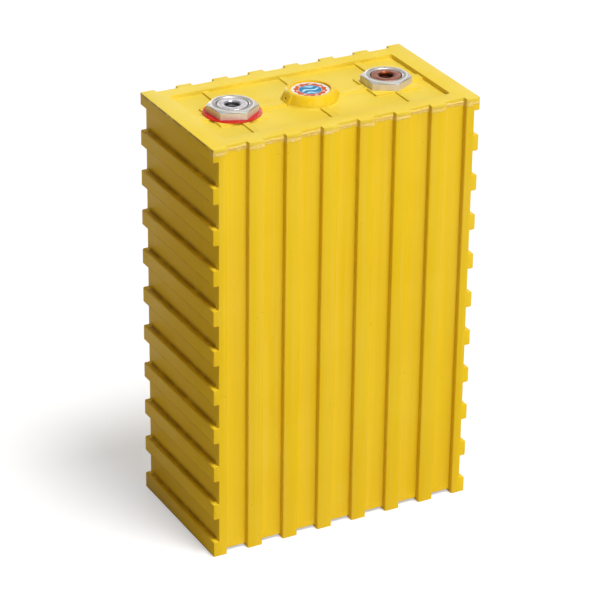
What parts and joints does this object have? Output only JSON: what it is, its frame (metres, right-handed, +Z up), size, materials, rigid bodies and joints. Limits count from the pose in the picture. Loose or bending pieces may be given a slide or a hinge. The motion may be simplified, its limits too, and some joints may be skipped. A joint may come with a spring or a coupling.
{
  "type": "prismatic battery cell",
  "caption": "Ribbed plastic prismatic battery cell with a welded lid, terminals with bolt holes under thin hexagon nuts, and a screw-in spring relief valve between them.",
  "frame": {"origin": "centre of the footprint, on the surface the feet stand on", "axes": "+Z up, +X along the lid from the positive to the negative terminal, -Y is the front broad face"},
  "size_m": [0.143, 0.078, 0.2214],
  "materials": {
    "case_plastic": "satin moulded polypropylene",
    "lid_plastic": "satin moulded polypropylene",
    "cap_plastic": "satin moulded polypropylene",
    "aluminium_post": "turned",
    "copper_post": "turned copper, tarnished",
    "nut_steel": "zinc plated",
    "red_ring": "gloss",
    "black_rubber": "moulded",
    "aluminium_foil": "pressed foil",
    "copper_foil": "pressed foil",
    "screw_steel": "plain",
    "spring_steel": "drawn wire",
    "label_print": "printed film",
    "valve_plastic": "moulded",
    "white_insulator": "moulded",
    "separator_film": "porous film"
  },
  "bodies": {
    "cell": {"case": "case_plastic", "lid": "lid_plastic", "positive_terminal": "aluminium_post", "negative_terminal": "copper_post", "positive_nut": "nut_steel", "negative_nut": "nut_steel", "positive_ring": "red_ring", "positive_gasket": "black_rubber", "negative_gasket": "black_rubber", "positive_tabs": "aluminium_foil", "negative_tabs": "copper_foil", "positive_clamp_plates": "aluminium_post", "negative_clamp_plates": "copper_post", "positive_clamp_screws": "screw_steel", "negative_clamp_screws": "screw_steel", "floor_pad": "white_insulator", "insulating_sleeve": "white_insulator", "cover_plate": "white_insulator", "plate_pack_1": "separator_film", "plate_pack_2": "separator_film", "plate_pack_3": "separator_film", "plate_pack_4": "separator_film"},
    "valve_spring_carrier": {"spring_retainer": "valve_plastic", "vent_spring": "spring_steel"},
    "valve_cap": {"vent_cap": "cap_plastic", "vent_label": "label_print", "vent_cap_seal": "black_rubber"},
    "valve_poppet": {"vent_poppet": "valve_plastic", "vent_rubber": "black_rubber"}
  },
  "joints": [
    {"name": "cap_lift", "type": "slide", "parent": "cell", "child": "valve_spring_carrier", "axis": [0, 0, 1], "range_m": [0, 0.0045]},
    {"name": "cap_turn", "type": "hinge", "parent": "valve_spring_carrier", "child": "valve_cap", "pos_m": [0, 0, 0.21685], "axis": [0, 0, 1], "range_deg": [0, 1080]},
    {"name": "poppet_lift", "type": "slide", "parent": "cell", "child": "valve_poppet", "axis": [0, 0, 1], "range_m": [0, 0.002], "stiffness_N_per_m": 600, "springref_m": -0.004, "deforming": ["vent_spring"]}
  ],
  "couplings": [
    {"joint": "cap_lift", "follows": "cap_turn", "m_per_rad": 0.00023873}
  ]
}
